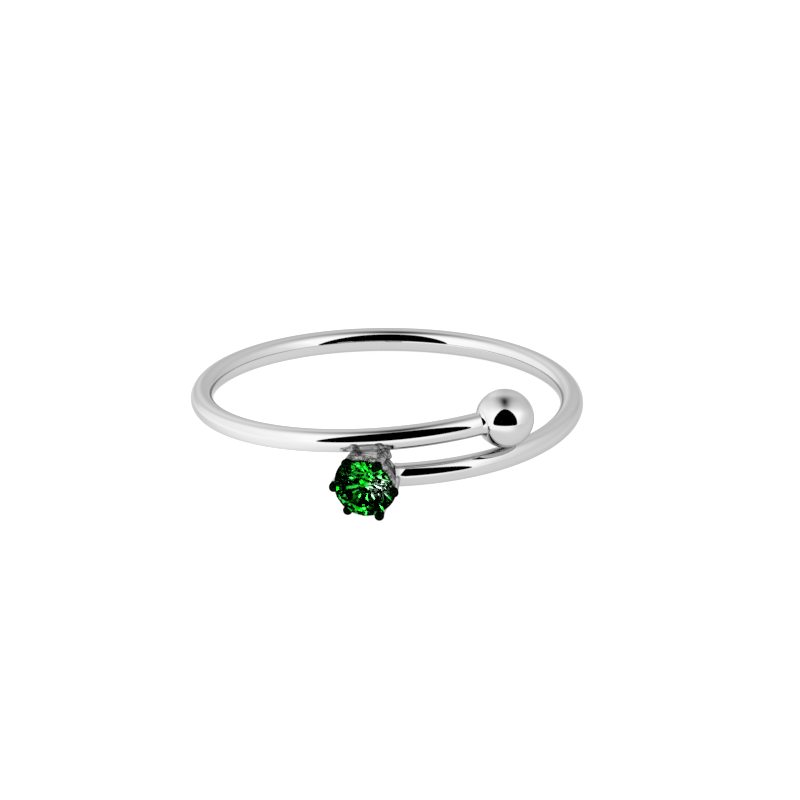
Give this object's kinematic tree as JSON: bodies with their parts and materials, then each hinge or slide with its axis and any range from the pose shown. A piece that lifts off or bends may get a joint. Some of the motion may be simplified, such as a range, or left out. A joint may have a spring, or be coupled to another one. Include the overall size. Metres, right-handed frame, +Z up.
{
  "type": "bypass ring with a six-prong basket setting",
  "caption": "Open bypass ring of polished silver-coloured wire with a polished ball at one end and a round green stone in a six-prong basket at the other.",
  "frame": {"origin": "bottom centre of the box that the lying ring fills, on the surface it lies on", "axes": "+Z up, away from the surface; -Y towards the stone and the front of the ring; +X towards the side of the ball"},
  "size_m": [0.0196, 0.0214, 0.0051],
  "materials": {
    "metal": "mirror polished silver-coloured metal",
    "green_stone": "faceted and polished transparent green"
  },
  "bodies": {
    "root": {"band_and_setting": "metal", "stone": "green_stone"}
  },
  "joints": []
}
